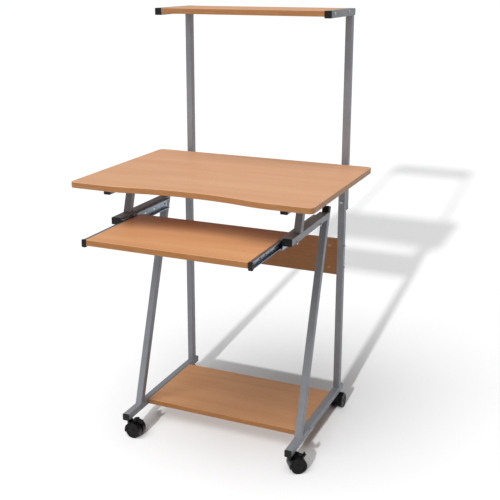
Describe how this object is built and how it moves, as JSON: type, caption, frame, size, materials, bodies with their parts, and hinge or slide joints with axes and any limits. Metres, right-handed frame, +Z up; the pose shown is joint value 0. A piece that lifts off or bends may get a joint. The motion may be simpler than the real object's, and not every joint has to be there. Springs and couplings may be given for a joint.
{
  "type": "computer desk with keyboard tray",
  "caption": "Narrow computer desk on casters with a wave-front desktop, a pull-out keyboard tray on ball slides, a bottom shelf and a raised top shelf on steel tube frames.",
  "frame": {"origin": "middle of the footprint on the floor, with the tray as far out as it stands at rest", "axes": "+Z up, +Y to the rear, +X to the right as seen from the front"},
  "size_m": [0.66, 0.642, 1.176],
  "materials": {
    "beech_laminate": "satin printed beech laminate with banded edges",
    "frame_paint": "silver-grey powder coat",
    "black_plastic": "moulded, fine texture",
    "slide_zinc": "blue zinc plate on rolled sheet",
    "ball_steel": "polished",
    "caster_nylon": "semi-gloss moulded",
    "fastener_steel": "bright zinc plate",
    "nut_bronze": "yellow-passivated steel, dulled"
  },
  "bodies": {
    "root": {"back_panel": "beech_laminate", "back_panel_bolts": "fastener_steel", "barrel_nuts": "nut_bronze", "bottom_rail_caps": "black_plastic", "bottom_rail_left": "frame_paint", "bottom_rail_right": "frame_paint", "bottom_shelf": "beech_laminate", "bottom_shelf_screws": "fastener_steel", "caster_stems": "fastener_steel", "desktop": "beech_laminate", "desktop_screws": "fastener_steel", "front_strut_left": "frame_paint", "front_strut_right": "frame_paint", "leg_caps": "black_plastic", "post_bolts": "fastener_steel", "post_caps": "black_plastic", "rear_upright_left": "frame_paint", "rear_upright_right": "frame_paint", "shelf_rail_caps": "black_plastic", "shelf_rail_left": "frame_paint", "shelf_rail_right": "frame_paint", "slanted_leg_left": "frame_paint", "slanted_leg_right": "frame_paint", "slide_bolts": "fastener_steel", "slide_outer_left": "slide_zinc", "slide_outer_right": "slide_zinc", "top_rail_caps": "black_plastic", "top_rail_left": "frame_paint", "top_rail_right": "frame_paint", "top_shelf": "beech_laminate", "top_shelf_screws": "fastener_steel", "tray_rail_caps": "black_plastic", "tray_rail_left": "frame_paint", "tray_rail_right": "frame_paint", "upper_post_left": "frame_paint", "upper_post_right": "frame_paint"},
    "tray": {"keyboard_tray": "beech_laminate", "slide_inner_left": "slide_zinc", "slide_inner_right": "slide_zinc", "slide_front_caps": "black_plastic", "tray_screws": "fastener_steel"},
    "ball_cage_left": {"ball_cage_left": "slide_zinc", "slide_balls_left": "ball_steel"},
    "ball_cage_right": {"ball_cage_right": "slide_zinc", "slide_balls_right": "ball_steel"},
    "caster_front_left": {"caster_hood_front_left": "caster_nylon"},
    "wheels_front_left": {"caster_wheels_front_left": "caster_nylon", "caster_axle_front_left": "fastener_steel"},
    "brake_front_left": {"brake_lever_front_left": "caster_nylon"},
    "caster_front_right": {"caster_hood_front_right": "caster_nylon"},
    "wheels_front_right": {"caster_wheels_front_right": "caster_nylon", "caster_axle_front_right": "fastener_steel"},
    "brake_front_right": {"brake_lever_front_right": "caster_nylon"},
    "caster_rear_left": {"caster_hood_rear_left": "caster_nylon"},
    "wheels_rear_left": {"caster_wheels_rear_left": "caster_nylon", "caster_axle_rear_left": "fastener_steel"},
    "caster_rear_right": {"caster_hood_rear_right": "caster_nylon"},
    "wheels_rear_right": {"caster_wheels_rear_right": "caster_nylon", "caster_axle_rear_right": "fastener_steel"}
  },
  "joints": [
    {"name": "tray_slide", "type": "slide", "parent": "root", "child": "tray", "axis": [0, 1, 0], "range_m": [-0.008, 0.176]},
    {"name": "ball_cage_slide_left", "type": "slide", "parent": "root", "child": "ball_cage_left", "axis": [0, 1, 0], "range_m": [-0.004, 0.088]},
    {"name": "ball_cage_slide_right", "type": "slide", "parent": "root", "child": "ball_cage_right", "axis": [0, 1, 0], "range_m": [-0.004, 0.088]},
    {"name": "swivel_front_left", "type": "hinge", "parent": "root", "child": "caster_front_left", "pos_m": [-0.2435, -0.102, 0.0475], "axis": [0, 0, 1], "continuous": true},
    {"name": "roll_front_left", "type": "hinge", "parent": "caster_front_left", "child": "wheels_front_left", "pos_m": [-0.2255, -0.102, 0.022], "axis": [0, 1, 0], "continuous": true},
    {"name": "brake_front_left", "type": "hinge", "parent": "caster_front_left", "child": "brake_front_left", "pos_m": [-0.22105, -0.102, 0.04721], "axis": [0, 1, 0], "range_deg": [0, 14]},
    {"name": "swivel_front_right", "type": "hinge", "parent": "root", "child": "caster_front_right", "pos_m": [0.2435, -0.102, 0.0475], "axis": [0, 0, 1], "continuous": true},
    {"name": "roll_front_right", "type": "hinge", "parent": "caster_front_right", "child": "wheels_front_right", "pos_m": [0.25824, -0.09168, 0.022], "axis": [-0.5736, 0.8192, 0], "continuous": true},
    {"name": "brake_front_right", "type": "hinge", "parent": "caster_front_right", "child": "brake_front_right", "pos_m": [0.26189, -0.08913, 0.04721], "axis": [-0.5736, 0.8192, 0], "range_deg": [0, 14]},
    {"name": "swivel_rear_left", "type": "hinge", "parent": "root", "child": "caster_rear_left", "pos_m": [-0.2435, 0.279, 0.0475], "axis": [0, 0, 1], "continuous": true},
    {"name": "roll_rear_left", "type": "hinge", "parent": "caster_rear_left", "child": "wheels_rear_left", "pos_m": [-0.25909, 0.288, 0.022], "axis": [-0.5, -0.866, 0], "continuous": true},
    {"name": "swivel_rear_right", "type": "hinge", "parent": "root", "child": "caster_rear_right", "pos_m": [0.2435, 0.279, 0.0475], "axis": [0, 0, 1], "continuous": true},
    {"name": "roll_rear_right", "type": "hinge", "parent": "caster_rear_right", "child": "wheels_rear_right", "pos_m": [0.2435, 0.297, 0.022], "axis": [-1, 0, 0], "continuous": true}
  ],
  "couplings": [
    {"joint": "ball_cage_slide_left", "follows": "tray_slide", "ratio": 0.5},
    {"joint": "ball_cage_slide_right", "follows": "tray_slide", "ratio": 0.5}
  ]
}
